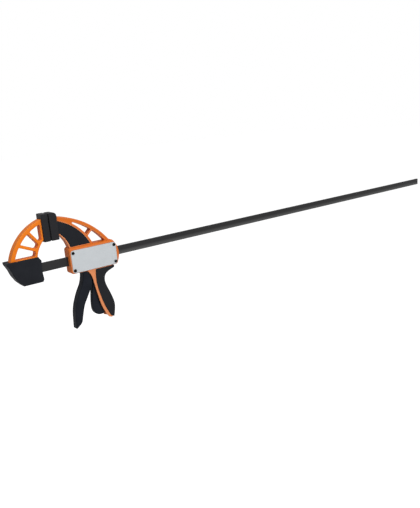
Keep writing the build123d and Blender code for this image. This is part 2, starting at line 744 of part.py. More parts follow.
def coil_spring(coil_radius, wire_radius, length, turns):
    """A compression spring along X from 0 to length, with plain ends."""
    rise = length - 2 * wire_radius
    path = Helix(rise / turns, rise, coil_radius)
    wire = sweep(Plane(path @ 0, z_dir=path % 0) * Circle(wire_radius), path)
    return Pos(wire_radius, 0, 0) * Rot(0, 90, 0) * wire


def make_drive_spring():
    length = rib_front_x - drive_stack_back_x - 2 * spring_end_gap
    spring = coil_spring(drive_coil_radius, drive_wire_radius, length, drive_coil_turns)
    return Pos(drive_stack_back_x + spring_end_gap, 0, 0) * spring


def make_brake_spring():
    length = brake_seat_x - brake_spring_x - spring_end_gap
    spring = coil_spring(brake_coil_radius, brake_wire_radius, length, brake_coil_turns)
    return Pos(brake_spring_x, 0, brake_spring_z) * spring


def make_release_lever():
    """A solid paddle in the handle's channel, with a nose that pushes the brake plates."""
    front = Spline(*release_front)
    tip = Spline(front @ 1, *release_tip)
    back = Spline(tip @ 1, *release_back)
    paddle = slab(make_face([front, tip, back, Line(back @ 1, front @ 0)]),
                  -release_width / 2, release_width / 2)
    paddle = fillet(rims_along(paddle, front), release_round)
    boss = disc((release_pivot_x, release_pivot_z), release_boss_radius)
    nose = disc((release_nose_x - release_nose_radius, release_nose_z), release_nose_radius)
    arm = polygon([release_front[0], (release_pivot_x - release_boss_radius, release_pivot_z),
                   (release_pivot_x + release_boss_radius, release_pivot_z),
                   (release_nose_x - release_nose_radius, release_nose_z + release_nose_radius),
                   (release_nose_x - release_nose_radius, release_nose_z - release_nose_radius),
                   release_back[-1]])
    head = slab(arm + boss + nose, -release_width / 2, release_width / 2)
    return paddle + head - cross_rod(release_pivot_x, release_pivot_z,
                                     release_pin_radius + running_clearance,
                                     -release_width, release_width)


def make_side_plate(side):
    low, high = (plate_inner_y, plate_outer_y) if side > 0 else (-plate_outer_y, -plate_inner_y)
    plate = slab(plate_area(0), low, high)
    for x, z in screw_places():
        plate -= cross_rod(x, z, screw_radius + running_clearance, low - 1, high + 1)
    outer_face = plate.faces().filter_by(Axis.Y).sort_by(Axis.Y)[-1 if side > 0 else 0]
    return chamfer(outer_face.outer_wire().edges(), plate_bevel)


def make_screws():
    """Four through screws with low domed heads on the near side, with hexagon sockets."""
    screws = []
    for x, z in screw_places():
        end_y = plate_outer_y + nut_height + screw_radius / 2
        screw = cross_rod(x, z, screw_radius, -plate_outer_y, end_y)
        head = cross_rod(x, z, screw_head_radius, -plate_outer_y - screw_head_height, -plate_outer_y)
        rim = head.faces().filter_by(Axis.Y).sort_by(Axis.Y)[0].edges()
        head = fillet(rim, screw_head_height * 0.6)
        socket = Pos(x, z) * RegularPolygon(screw_socket_radius, 6)
        head -= slab(socket, -plate_outer_y - screw_head_height - 1,
                     -plate_outer_y - screw_head_height * 0.25)
        screws.append(screw + head)
    return Compound(screws)


def make_nuts():
    nuts = []
    for x, z in screw_places():
        hexagon = Pos(x, z) * RegularPolygon(nut_across_flats / 2, 6, major_radius=False)
        nut = slab(hexagon, plate_outer_y, plate_outer_y + nut_height)
        nuts.append(nut - cross_rod(x, z, screw_radius + running_clearance, 0, body_width))
    return Compound(nuts)


def main():
    pieces = {
        "bar": make_bar(),
        "bar_stop_pin": make_stop_pin(),
        "fixed_jaw_frame": make_fixed_jaw_frame(),
        "fixed_jaw_cover": make_fixed_jaw_cover(),
        "fixed_jaw_pad": make_fixed_pad(),
        "fixed_jaw_pin": make_jaw_pin(),
        "body_frame": make_body_frame(),
        "moving_jaw_pad": make_moving_pad(),
        "arm_inlay_near": make_arm_inlay(-1),
        "arm_inlay_far": make_arm_inlay(1),
        "side_plate_near": make_side_plate(-1),
        "side_plate_far": make_side_plate(1),
        "plate_screws": make_screws(),
        "plate_nuts": make_nuts(),
        "handle_grip": make_grip(),
        "trigger": make_trigger(),
        "trigger_pin": make_pin(trigger_pivot_x, trigger_pivot_z, trigger_pin_radius),
        "drive_plates": make_drive_plates(),
        "drive_spring": make_drive_spring(),
        "brake_plates": make_brake_plates(),
        "brake_spring": make_brake_spring(),
        "release_lever": make_release_lever(),
        "release_pin": make_pin(release_pivot_x, release_pivot_z, release_pin_radius),
    }
    os.makedirs("parts", exist_ok=True)
    for name, piece in pieces.items():
        export_step(Pos(0, 0, -throat_height) * piece, f"parts/{name}.step")


main()
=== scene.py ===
import math
import bmesh
import bpy
from mathutils import Matrix, Vector


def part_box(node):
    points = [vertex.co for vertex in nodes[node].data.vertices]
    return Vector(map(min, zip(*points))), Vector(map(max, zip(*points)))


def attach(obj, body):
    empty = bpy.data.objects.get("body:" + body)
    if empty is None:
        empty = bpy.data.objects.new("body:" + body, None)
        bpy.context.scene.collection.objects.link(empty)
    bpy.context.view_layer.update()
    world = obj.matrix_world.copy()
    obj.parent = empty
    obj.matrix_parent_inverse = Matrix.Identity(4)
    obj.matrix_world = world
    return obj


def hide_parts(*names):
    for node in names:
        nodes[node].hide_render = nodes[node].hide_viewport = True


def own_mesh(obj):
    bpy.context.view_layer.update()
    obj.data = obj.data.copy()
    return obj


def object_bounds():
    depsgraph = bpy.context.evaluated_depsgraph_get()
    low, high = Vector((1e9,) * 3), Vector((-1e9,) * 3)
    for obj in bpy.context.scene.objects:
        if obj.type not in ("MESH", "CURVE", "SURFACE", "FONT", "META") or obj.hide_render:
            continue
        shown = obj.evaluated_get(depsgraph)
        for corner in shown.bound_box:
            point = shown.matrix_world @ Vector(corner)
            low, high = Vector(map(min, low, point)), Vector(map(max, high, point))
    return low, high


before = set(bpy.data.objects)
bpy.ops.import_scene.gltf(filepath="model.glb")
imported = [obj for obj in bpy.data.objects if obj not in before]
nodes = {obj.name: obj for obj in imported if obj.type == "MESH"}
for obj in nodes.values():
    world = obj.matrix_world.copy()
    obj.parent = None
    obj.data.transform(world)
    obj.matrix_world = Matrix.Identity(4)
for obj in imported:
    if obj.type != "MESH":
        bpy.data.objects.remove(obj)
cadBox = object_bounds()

# Quick release bar clamp. The solids come with the frame; this script gives them their
# finishes, adds the finer pieces, and sets the light and the camera. The pieces' dictionaries
# are in mm and degrees; the lamps, the camera and all that is made are in metres.
mm = 0.001
near = 0.01 * mm             # closer to a plane than this counts as lying on it
sameWay = 0.99               # a direction that agrees this well counts as the same
mergeDistance = 0.001 * mm
rightAngle = math.radians(90)
white = (1.0, 1.0, 1.0, 1.0)


def linear(hexColour):
    # sRGB hex to the linear RGBA that shader sockets take
    channels = [int(hexColour[i:i + 2], 16) / 255 for i in (1, 3, 5)]
    return [c / 12.92 if c <= 0.04045 else ((c + 0.055) / 1.055) ** 2.4 for c in channels] + [1.0]


def addNode(tree, kind, settings=None, inputs=None):
    # settings are the node's own properties; an input is a value or another node's output
    node = tree.nodes.new(kind)
    for name, value in (settings or {}).items():
        setattr(node, name, value)
    for name, value in (inputs or {}).items():
        if isinstance(value, bpy.types.NodeSocket):
            tree.links.new(value, node.inputs[name])
        else:
            node.inputs[name].default_value = value
    return node


def newMaterial(name):
    material = bpy.data.materials.new(name)
    material.use_nodes = True
    material.node_tree.nodes.clear()
    return material


def perMetre(sizeMm):
    # scale of a pattern whose features are sizeMm across
    return 1.0 / (sizeMm * mm)


def dress(material, *names):
    for name in names:
        for slot in nodes[name].material_slots:
            slot.material = material


# What all finishes share: how the light inside a solid tells a flat from an edge, how finely
# each noise is layered, and the span that a noise's values mostly fill.
edgeSet = {"flatLight": 0.95, "edgeLight": 0.55, "maskSamples": 8, "roundSamples": 6}
noiseSet = {"flow": {"Detail": 3.0, "Roughness": 0.55}, "grain": {"Detail": 2.0, "Roughness": 0.6},
            "dust": {"Detail": 6.0, "Roughness": 0.65}, "lines": {"Detail": 3.0},
            "patches": {"Detail": 4.0, "Roughness": 0.6}}
noiseSpan = {"From Min": 0.3, "From Max": 0.7}


def edgeMask(tree, finish):
    # 1 on outward edges and 0 on flats: light sent into the solid meets its other face there. Its
    #                                    edge colour is real wear on the bar, screws, pins and
    #                                    hardened plates,
    # a painted highlight on the orange nylon and the zinc plate, and painted shade on the held
    # black nylon
    inside = addNode(tree, "ShaderNodeAmbientOcclusion",
                     {"samples": edgeSet["maskSamples"], "inside": True},
                     {"Distance": finish["edgeMm"] * mm})
    return addNode(tree, "ShaderNodeMapRange", inputs={
        "Value": inside.outputs["AO"], "From Min": edgeSet["flatLight"],
        "From Max": edgeSet["edgeLight"], "To Min": 0.0,
        "To Max": finish["edgeWearAndPaintedLight"]}).outputs["Result"]


def softEdge(tree, finish):
    # the small radius that a mould or a tumbler leaves on every edge
    return addNode(tree, "ShaderNodeBevel", {"samples": edgeSet["roundSamples"]}, {
        "Radius": finish["edgeRoundMm"] * mm}).outputs["Normal"]


def wearAndPaintedLightColour(tree, finish, pattern, wearAndLightMask):
    # from deep to pale with the pattern, and to the edge colour where the mask is: real wear on
    # some finishes, painted highlight and painted shade on others
    tone = addNode(tree, "ShaderNodeMix", {"data_type": "RGBA"}, {
        "Factor": pattern, "A": linear(finish["deep"]), "B": linear(finish["pale"])})
    return addNode(tree, "ShaderNodeMix", {"data_type": "RGBA"}, {
        "Factor": wearAndLightMask, "A": tone.outputs["Result"],
        "B": linear(finish["wearAndPaintedLight"])}).outputs["Result"]


def unevenRoughness(tree, finish, pattern):
    return addNode(tree, "ShaderNodeMapRange", inputs={
        "Value": pattern, **noiseSpan, "To Min": finish["smoothest"],
        "To Max": finish["roughest"]}).outputs["Result"]


def mouldedNylon(name, finish):
    # Glass-filled nylon from a spark-eroded mould: an even satin skin with a fine grain, slow
    # changes of tone where the melt flowed, and an edge colour that is a painted highlight on the
    # orange and painted shade on the held black. The real grain is near 0.1 mm; it is drawn about
    # five times as coarse, so that it shows.
    material = newMaterial(name)
    tree = material.node_tree
    place = addNode(tree, "ShaderNodeTexCoord").outputs["Object"]
    flow = addNode(tree, "ShaderNodeTexNoise", inputs={
        "Vector": place, "Scale": perMetre(finish["flowMm"]), **noiseSet["flow"]})
    grain = addNode(tree, "ShaderNodeTexNoise", inputs={
        "Vector": place, "Scale": perMetre(finish["grainMm"]), **noiseSet["grain"]})
    bump = addNode(tree, "ShaderNodeBump", inputs={
        "Strength": finish["bump"], "Distance": finish["bumpMm"] * mm,
        "Height": grain.outputs["Fac"], "Normal": softEdge(tree, finish)})
    skin = addNode(tree, "ShaderNodeBsdfPrincipled", inputs={
        "Base Color": wearAndPaintedLightColour(tree, finish, flow.outputs["Fac"], edgeMask(tree, finish)),
        "Roughness": unevenRoughness(tree, finish, grain.outputs["Fac"]),
        "IOR": finish["ior"], "Specular IOR Level": finish["gloss"],
        "Normal": bump.outputs["Normal"]})
    addNode(tree, "ShaderNodeOutputMaterial", inputs={"Surface": skin.outputs["BSDF"]})
    return material


# warm orange, its pale salmon edges a painted highlight
orangeNylonHighlitEdgesFinish = {
    "deep": "#C45D18", "pale": "#D46D1E", "wearAndPaintedLight": "#E6A57C", "edgeMm": 3.0, "edgeWearAndPaintedLight": 0.5,
    "edgeRoundMm": 1.2, "flowMm": 26.0, "grainMm": 0.5, "smoothest": 0.44, "roughest": 0.6,
    "bump": 0.35, "bumpMm": 0.06, "ior": 1.5, "gloss": 0.14}
# a brighter, yellower copy of the orange for the fixed jaw, painting the light that falls on its
# arch, with a painted highlight on its edges
litJawNylonFinish = {**orangeNylonHighlitEdgesFinish, "deep": "#DC6E10", "pale": "#EC8016", "wearAndPaintedLight": "#F4B468",
                  "edgeMm": 1.5, "edgeWearAndPaintedLight": 0.42}
# a cool black, dull, its edges only just paler
blackNylonFinish = {
    "deep": "#1B1C20", "pale": "#24262B", "wearAndPaintedLight": "#2E2F35", "edgeMm": 1.0, "edgeWearAndPaintedLight": 0.3,
    "edgeRoundMm": 0.8, "flowMm": 22.0, "grainMm": 0.55, "smoothest": 0.5, "roughest": 0.66,
    "bump": 0.4, "bumpMm": 0.08, "ior": 1.45, "gloss": 0.05}
# the same black where it is held: smoother, with painted shade darkening its edges
heldNylonShadedEdgesFinish = {**blackNylonFinish, "deep": "#191B20", "pale": "#24272E", "wearAndPaintedLight": "#0C0C0E",
                   "edgeWearAndPaintedLight": 0.9, "edgeRoundMm": 1.0, "smoothest": 0.42, "roughest": 0.54,
                   "gloss": 0.03}
orangeNylonHighlitEdges = mouldedNylon("orangeNylonHighlitEdges", orangeNylonHighlitEdgesFinish)
litJawNylon = mouldedNylon("litOrangeJawNylon", litJawNylonFinish)
blackNylon = mouldedNylon("blackNylon", blackNylonFinish)
heldNylonShadedEdges = mouldedNylon("handledBlackNylonShadedEdges", heldNylonShadedEdgesFinish)


def mouldedRubber(name, finish):
    # Moulded thermoplastic rubber: softer and duller than the nylon, with a pebbled skin,
    # dust in its pits and paler edges. Real pebbles are near 0.3 mm; they are
    # drawn about three times as coarse, so that they show.
    material = newMaterial(name)
    tree = material.node_tree
    place = addNode(tree, "ShaderNodeTexCoord").outputs["Object"]
    pebble = addNode(tree, "ShaderNodeTexVoronoi", {"feature": "SMOOTH_F1"}, {
        "Vector": place, "Scale": perMetre(finish["pebbleMm"]),
        "Smoothness": finish["pebbleBlend"]})
    dust = addNode(tree, "ShaderNodeTexNoise", inputs={
        "Vector": place, "Scale": perMetre(finish["dustMm"]), **noiseSet["dust"]})
    bump = addNode(tree, "ShaderNodeBump", {"invert": True}, {
        "Strength": finish["bump"], "Distance": finish["bumpMm"] * mm,
        "Height": pebble.outputs["Distance"]})
    skin = addNode(tree, "ShaderNodeBsdfPrincipled", inputs={
        "Base Color": wearAndPaintedLightColour(tree, finish, dust.outputs["Fac"], edgeMask(tree, finish)),
        "Roughness": finish["roughness"], "IOR": finish["ior"],
        "Specular IOR Level": finish["gloss"], "Sheen Weight": finish["sheen"],
        "Sheen Roughness": finish["sheenSpread"], "Normal": bump.outputs["Normal"]})
    addNode(tree, "ShaderNodeOutputMaterial", inputs={"Surface": skin.outputs["BSDF"]})
    return material


padRubberFinish = {
    "deep": "#18181B", "pale": "#222225", "wearAndPaintedLight": "#3C3C40", "edgeMm": 1.2, "edgeWearAndPaintedLight": 0.35,
    "pebbleMm": 0.8, "pebbleBlend": 0.6, "dustMm": 14.0, "bump": 0.3, "bumpMm": 0.1,
    "roughness": 0.6, "ior": 1.45, "gloss": 0.12, "sheen": 0.04, "sheenSpread": 0.5}
# the grip's pebbles are larger and deeper, and hands keep it darker
gripRubberFinish = {
    **padRubberFinish, "deep": "#121316", "pale": "#1B1C20", "wearAndPaintedLight": "#34353A",
    "edgeWearAndPaintedLight": 0.3, "pebbleMm": 1.1, "dustMm": 18.0, "bump": 0.35, "bumpMm": 0.14,
    "roughness": 0.56}
padRubber = mouldedRubber("padRubber", padRubberFinish)
gripRubber = mouldedRubber("gripRubber", gripRubberFinish)


def paintedFloorReflection(tree, place, finish):
    # painted reflection of the floor: 0 down to the middle of the bar's sides, growing paler
    # towards the lower edge;
    # the stretch up to the parked head is left dark, as painted shade from the head
    low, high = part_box("bar")
    headStart, headEnd = (corner.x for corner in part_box("side_plate_near"))
    at = addNode(tree, "ShaderNodeSeparateXYZ", inputs={"Vector": place})
    most = addNode(tree, "ShaderNodeMapRange", inputs={
        "Value": at.outputs["X"], "From Min": headStart, "From Max": headEnd,
        "To Min": 0.0, "To Max": finish["reflectionStrength"]})
    return addNode(tree, "ShaderNodeMapRange", inputs={
        "Value": at.outputs["Z"], "From Min": (low.z + high.z) / 2 + finish["reflectionStartMm"] * mm,
        "From Max": low.z, "To Min": 0.0, "To Max": most.outputs["Result"]}).outputs["Result"]


def workedSteel(name, finish):
    # Steel with the lines of its last working along X and a slow patchy tone; black oxide,
    # oil or zinc decide how dark and how even it is. Real lines are under 0.1 mm wide; they
    # are drawn three to five times as coarse, so that they show.
    material = newMaterial(name)
    tree = material.node_tree
    place = addNode(tree, "ShaderNodeTexCoord").outputs["Object"]
    drawn = addNode(tree, "ShaderNodeMapping", inputs={
        "Vector": place, "Scale": (1.0 / finish["lineStretch"], 1.0, 1.0)})
    lines = addNode(tree, "ShaderNodeTexNoise", inputs={
        "Vector": drawn.outputs["Vector"], "Scale": perMetre(finish["lineMm"]),
        **noiseSet["lines"]})
    patches = addNode(tree, "ShaderNodeTexNoise", inputs={
        "Vector": place, "Scale": perMetre(finish["patchMm"]), **noiseSet["patches"]})
    both = addNode(tree, "ShaderNodeMix", {"data_type": "FLOAT"}, {
        "Factor": finish["lineShare"], "A": patches.outputs["Fac"], "B": lines.outputs["Fac"]})
    wearAndLightMask = edgeMask(tree, finish)
    # the bar's lower half is painted paler here, as a reflection of the floor
    if "reflectionStrength" in finish:
        wearAndLightMask = addNode(tree, "ShaderNodeMath", {"operation": "MAXIMUM"}, {
            0: wearAndLightMask, 1: paintedFloorReflection(tree, place, finish)}).outputs["Value"]
    bump = addNode(tree, "ShaderNodeBump", inputs={
        "Strength": finish["bump"], "Distance": finish["bumpMm"] * mm,
        "Height": lines.outputs["Fac"], "Normal": softEdge(tree, finish)})
    skin = addNode(tree, "ShaderNodeBsdfPrincipled", inputs={
        "Base Color": wearAndPaintedLightColour(tree, finish, both.outputs["Result"], wearAndLightMask),
        "Metallic": finish["metallic"],
        "Roughness": unevenRoughness(tree, finish, both.outputs["Result"]),
        "Normal": bump.outputs["Normal"]})
    addNode(tree, "ShaderNodeOutputMaterial", inputs={"Surface": skin.outputs["BSDF"]})
    return material


# cold-drawn flat bar, oiled black oxide: long die lines under a soft, nearly black sheen; its
# lower half is painted paler as a reflection of the floor
blackOxideBarFinish = {
    "deep": "#101011", "pale": "#1C1C1D", "wearAndPaintedLight": "#565656", "edgeMm": 0.6, "edgeWearAndPaintedLight": 0.3,
    "reflectionStartMm": 1.0, "reflectionStrength": 0.7, "edgeRoundMm": 0.3, "lineMm": 0.5, "lineStretch": 40.0,
    "patchMm": 24.0, "lineShare": 0.5, "metallic": 0.6, "smoothest": 0.44, "roughest": 0.6,
    "bump": 0.25, "bumpMm": 0.05}
# rolled sheet, brushed and zinc plated under a clear coat: pale, even, softly streaked, its pale
# edges a painted highlight
zincPlateFinish = {
    "deep": "#A4A8AB", "pale": "#BCC0C3", "wearAndPaintedLight": "#DFE0E1", "edgeMm": 0.5, "edgeWearAndPaintedLight": 0.4,
    "edgeRoundMm": 0.25, "lineMm": 0.35, "lineStretch": 60.0, "patchMm": 18.0,
    "lineShare": 0.6, "metallic": 0.35, "smoothest": 0.4, "roughest": 0.54, "bump": 0.12,
    "bumpMm": 0.03}
# forged screws and nuts in black oxide: the darkest, with bare steel starting at corners
blackScrewFinish = {
    "deep": "#080809", "pale": "#101011", "wearAndPaintedLight": "#2A2A2B", "edgeMm": 0.3, "edgeWearAndPaintedLight": 0.3,
    "edgeRoundMm": 0.12, "lineMm": 0.4, "lineStretch": 1.0, "patchMm": 3.0, "lineShare": 0.4,
    "metallic": 0.85, "smoothest": 0.42, "roughest": 0.58, "bump": 0.2, "bumpMm": 0.03}
# ground silver steel pins: bright and smooth
groundPinFinish = {
    "deep": "#85868A", "pale": "#A2A3A6", "wearAndPaintedLight": "#BDBDBE", "edgeMm": 0.3, "edgeWearAndPaintedLight": 0.3,
    "edgeRoundMm": 0.1, "lineMm": 0.3, "lineStretch": 1.0, "patchMm": 4.0, "lineShare": 0.5,
    "metallic": 1.0, "smoothest": 0.24, "roughest": 0.36, "bump": 0.15, "bumpMm": 0.02}
# blanked plates, hardened and tumbled: a brownish grey, blotchy, with bright edges
hardenedPlateFinish = {
    "deep": "#4B4A49", "pale": "#66655F", "wearAndPaintedLight": "#8C8B88", "edgeMm": 0.4, "edgeWearAndPaintedLight": 0.5,
    "edgeRoundMm": 0.2, "lineMm": 0.5, "lineStretch": 1.0, "patchMm": 6.0, "lineShare": 0.3,
    "metallic": 1.0, "smoothest": 0.32, "roughest": 0.48, "bump": 0.2, "bumpMm": 0.03}
# drawn spring wire, bare: an even mid grey shine
springWireFinish = {
    "deep": "#6E6F72", "pale": "#8C8D90", "wearAndPaintedLight": "#8C8D90", "edgeMm": 0.2, "edgeWearAndPaintedLight": 0.0,
    "edgeRoundMm": 0.05, "lineMm": 0.3, "lineStretch": 1.0, "patchMm": 5.0, "lineShare": 0.4,
    "metallic": 1.0, "smoothest": 0.26, "roughest": 0.38, "bump": 0.12, "bumpMm": 0.02}
blackOxideBar = workedSteel("blackOxideBar", blackOxideBarFinish)
zincPlate = workedSteel("zincPlate", zincPlateFinish)
blackScrew = workedSteel("blackScrew", blackScrewFinish)
groundPin = workedSteel("groundPin", groundPinFinish)
hardenedPlate = workedSteel("hardenedPlate", hardenedPlateFinish)
springWire = workedSteel("springWire", springWireFinish)
print("materials made")

dress(orangeNylonHighlitEdges, "body_frame")
dress(litJawNylon, "fixed_jaw_frame")
dress(blackNylon, "fixed_jaw_cover", "arm_inlay_near", "arm_inlay_far")
dress(heldNylonShadedEdges, "trigger", "release_lever")
dress(blackOxideBar, "bar")
dress(zincPlate, "side_plate_near", "side_plate_far")
dress(groundPin, "bar_stop_pin", "fixed_jaw_pin", "trigger_pin", "release_pin")
dress(hardenedPlate, "drive_plates", "brake_plates")
print("solids dressed")


def deselectAll():
    bpy.ops.object.select_all(action="DESELECT")


def selectOnly(piece):
    # the only selected piece, and the active one
    deselectAll()
    piece.select_set(True)
    bpy.context.view_layer.objects.active = piece


def startEditing(name):
    # names the primitive just added, puts its place into its mesh and opens it
    piece = bpy.context.object
    piece.name = name
    bpy.ops.object.transform_apply(location=True, rotation=True, scale=True)
    bpy.ops.object.mode_set(mode="EDIT")
    return piece


def startBlock(name, low, high):
    # a block between two corners, left in edit mode
    deselectAll()
    bpy.ops.mesh.primitive_cube_add(size=1.0, location=(low + high) / 2)
    bpy.context.object.scale = high - low
    return startEditing(name)


def pickFaces(piece, wanted):
    bpy.ops.mesh.select_mode(type="FACE")
    bpy.ops.mesh.select_all(action="DESELECT")
    shape = bmesh.from_edit_mesh(piece.data)
    for face in shape.faces:
        face.select_set(wanted(face.calc_center_median(), face.normal))
    bmesh.update_edit_mesh(piece.data)


def pickEdges(piece, wanted):
    bpy.ops.mesh.select_mode(type="EDGE")
    bpy.ops.mesh.select_all(action="DESELECT")
    shape = bmesh.from_edit_mesh(piece.data)
    for edge in shape.edges:
        start, end = (corner.co for corner in edge.verts)
        edge.select_set(wanted((start + end) / 2, (end - start).normalized()))
    bmesh.update_edit_mesh(piece.data)


def cutAcross(place, direction):
    # a ring of edges where a plane crosses the piece in edit mode
    bpy.ops.mesh.select_all(action="SELECT")
    bpy.ops.mesh.bisect(plane_co=place, plane_no=direction)


def closeSkin():
    # merges doubles and turns all faces outwards
    bpy.ops.mesh.select_all(action="SELECT")
    bpy.ops.mesh.remove_doubles(threshold=mergeDistance)
    bpy.ops.mesh.normals_make_consistent(inside=False)


def finishPiece(piece, material, body, replaced, smoothBelow=35):
    # out of edit mode, smooth where the surface turns gently, dressed and riding
    if piece.mode == "EDIT":
        bpy.ops.object.mode_set(mode="OBJECT")
    selectOnly(piece)
    bpy.ops.object.transform_apply(location=True, rotation=True, scale=True)
    bpy.ops.object.shade_smooth_by_angle(angle=math.radians(smoothBelow))
    piece.data.materials.clear()
    piece.data.materials.append(material)
    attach(piece, body)
    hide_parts(replaced)


# Jaw pads: boots of black rubber pushed over the carriers, with a ribbed clamping face, a
# slot behind for the jaw and a crowned top.
padSet = {"sideRound": 1.5, "endRound": 1.6, "roundSteps": 4, "shoulderSteps": 8,
          "ribPitch": 3.0, "ribGroove": 0.9, "grooveFlank": 0.225, "ribDepth": 0.5,
          "ribMargin": 3.4, "slotDepth": 5.0}
fixedPadSet = {"faceSide": 1, "shoulder": 2.0, "slotHalf": 9.8, "slotLow": -23.0,
               "slotHigh": 23.3}
movingPadSet = {"faceSide": -1, "shoulder": 7.6, "slotHalf": 9.3, "slotLow": -16.4,
                "slotHigh": 23.8}


def makePad(name, node, pad):
    low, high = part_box(node)
    faceX, backX = (high.x, low.x) if pad["faceSide"] > 0 else (low.x, high.x)
    boot = startBlock(name, low, high)
    # the crowned shoulder behind the top, then both ends and the long edges
    pickEdges(boot, lambda at, way: abs(at.x - backX) < near and abs(at.z - high.z) < near)
    bpy.ops.mesh.bevel(offset=pad["shoulder"] * mm, segments=padSet["shoulderSteps"],
                       affect="EDGES")
    pickEdges(boot, lambda at, way: abs(way.y) > sameWay and (
        abs(at.z - low.z) < near or abs(at.x - faceX) < near and abs(at.z - high.z) < near))
    bpy.ops.mesh.bevel(offset=padSet["endRound"] * mm, segments=padSet["roundSteps"],
                       affect="EDGES")
    pickEdges(boot, lambda at, way: abs(abs(at.y) - high.y) < near)
    bpy.ops.mesh.bevel(offset=padSet["sideRound"] * mm, segments=padSet["roundSteps"],
                       affect="EDGES")
    # grooves across the clamping face leave the ribs between them
    sideY = high.y - padSet["ribMargin"] * mm
    lastGroove = high.z - (pad["shoulder"] + padSet["ribMargin"]) * mm
    grooves = []
    groove = low.z + padSet["ribMargin"] * mm
    while groove < lastGroove:
        grooves.append(groove)
        cutAcross((0, 0, groove), (0, 0, 1))
        cutAcross((0, 0, groove + padSet["ribGroove"] * mm), (0, 0, 1))
        groove += padSet["ribPitch"] * mm
    cutAcross((0, sideY, 0), (0, 1, 0))
    cutAcross((0, -sideY, 0), (0, 1, 0))
    pickFaces(boot, lambda at, normal: abs(at.x - faceX) < near and abs(at.y) < sideY and any(
        start < at.z < start + padSet["ribGroove"] * mm for start in grooves))
    bpy.ops.mesh.inset(thickness=padSet["grooveFlank"] * mm, depth=-padSet["ribDepth"] * mm)
    # slot for the jaw in the back
    halfY = pad["slotHalf"] * mm
    slotLow, slotHigh = pad["slotLow"] * mm, pad["slotHigh"] * mm
    cutAcross((0, halfY, 0), (0, 1, 0))
    cutAcross((0, -halfY, 0), (0, 1, 0))
    cutAcross((0, 0, slotLow), (0, 0, 1))
    cutAcross((0, 0, slotHigh), (0, 0, 1))
    pickFaces(boot, lambda at, normal: abs(at.x - backX) < near and abs(at.y) < halfY
              and slotLow < at.z < slotHigh)
    bpy.ops.mesh.extrude_region_move(TRANSFORM_OT_translate={
        "value": (pad["faceSide"] * padSet["slotDepth"] * mm, 0, 0)})
    closeSkin()
    return boot


fixedPad = makePad("fixedPad", "fixed_jaw_pad", fixedPadSet)
finishPiece(fixedPad, padRubber, "bar_side", "fixed_jaw_pad")
movingPad = makePad("movingPad", "moving_jaw_pad", movingPadSet)
finishPiece(movingPad, padRubber, "head", "moving_jaw_pad")
print("jaw pads made")


# Rear grip: the overmoulded sleeve, its skin drawn smooth as a soft moulding's is.
gripSet = {"voxel": 0.7, "smoothing": 0.5, "passes": 4, "smoothBelow": 60}


def makeGrip():
    grip = nodes["handle_grip"].copy()
    grip.data = grip.data.copy()
    grip.name = "gripSleeve"
    grip.parent = None
    for key in list(grip.keys()):       # the marks of the solid it is copied from
        del grip[key]
    bpy.context.scene.collection.objects.link(grip)
    selectOnly(grip)
    bpy.ops.object.mode_set(mode="EDIT")
    closeSkin()
    bpy.ops.object.mode_set(mode="OBJECT")
    even = grip.modifiers.new("even", "REMESH")
    even.mode = "VOXEL"
    even.voxel_size = gripSet["voxel"] * mm
    bpy.ops.object.modifier_apply(modifier=even.name)
    soften = grip.modifiers.new("soften", "SMOOTH")
    soften.factor = gripSet["smoothing"]
    soften.iterations = gripSet["passes"]
    bpy.ops.object.modifier_apply(modifier=soften.name)
    return grip


gripSleeve = makeGrip()
finishPiece(gripSleeve, gripRubber, "head", "handle_grip",
            gripSet["smoothBelow"])
print("grip made")


# Screws and nuts of the side plates: low domed heads with hexSides sockets on the near side,
# chamfered nuts and rounded screw ends on the far side. Each is made once, on the Y axis,
# and copied to its four places.
screwSet = {"headRadius": 3.6, "headHeight": 2.0, "headSides": 40, "dome": 1.1, "domeSteps": 5,
            "socketRadius": 1.6, "socketDepth": 1.3, "cutterProud": 1.0,
            "shankRadius": 2.0, "shankSides": 32, "shankBehindHead": 6.0,
            "endProud": 1.0, "endLength": 4.0, "endRound": 0.5, "endSteps": 3}
nutSet = {"acrossFlats": 7.0, "height": 3.0, "chamfer": 0.45, "chamferSteps": 2,
          "rim": 0.3, "boreChamfer": 0.25, "boreDepth": 0.35, "smoothBelow": 20}
hexSides = 6


def screwPlaces():
    low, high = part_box("plate_screws")
    inset = screwSet["headRadius"] * mm
    for x in (low.x + inset, high.x - inset):
        for z in (low.z + inset, high.z - inset):
            yield x, z


def addRod(name, sides, radius, yLow, yHigh):
    # a rod on the Y axis, left in edit mode
    deselectAll()
    bpy.ops.mesh.primitive_cylinder_add(
        vertices=sides, radius=radius, depth=yHigh - yLow,
        location=(0, (yLow + yHigh) / 2, 0), rotation=(rightAngle, 0, 0))
    return startEditing(name)


def makeScrewHead(faceY):
    topY = faceY - screwSet["headHeight"] * mm
    head = addRod("screwHead", screwSet["headSides"], screwSet["headRadius"] * mm, topY, faceY)
    pickFaces(head, lambda at, normal: abs(at.y - topY) < near)
    bpy.ops.mesh.bevel(offset=screwSet["dome"] * mm, segments=screwSet["domeSteps"],
                       affect="EDGES")
    pickFaces(head, lambda at, normal: abs(at.y - faceY) < near)
    bpy.ops.mesh.inset(thickness=(screwSet["headRadius"] - screwSet["shankRadius"]) * mm)
    bpy.ops.mesh.extrude_region_move(TRANSFORM_OT_translate={
        "value": (0, screwSet["shankBehindHead"] * mm, 0)})
    bpy.ops.object.mode_set(mode="OBJECT")
    cutter = addRod("socketCutter", hexSides, screwSet["socketRadius"] * mm,
                    topY - screwSet["cutterProud"] * mm, topY + screwSet["socketDepth"] * mm)
    bpy.ops.object.mode_set(mode="OBJECT")
    selectOnly(head)
    socket = head.modifiers.new("socket", "BOOLEAN")
    socket.operation = "DIFFERENCE"
    socket.object = cutter
    bpy.ops.object.modifier_apply(modifier=socket.name)
    bpy.data.objects.remove(cutter)
    return head


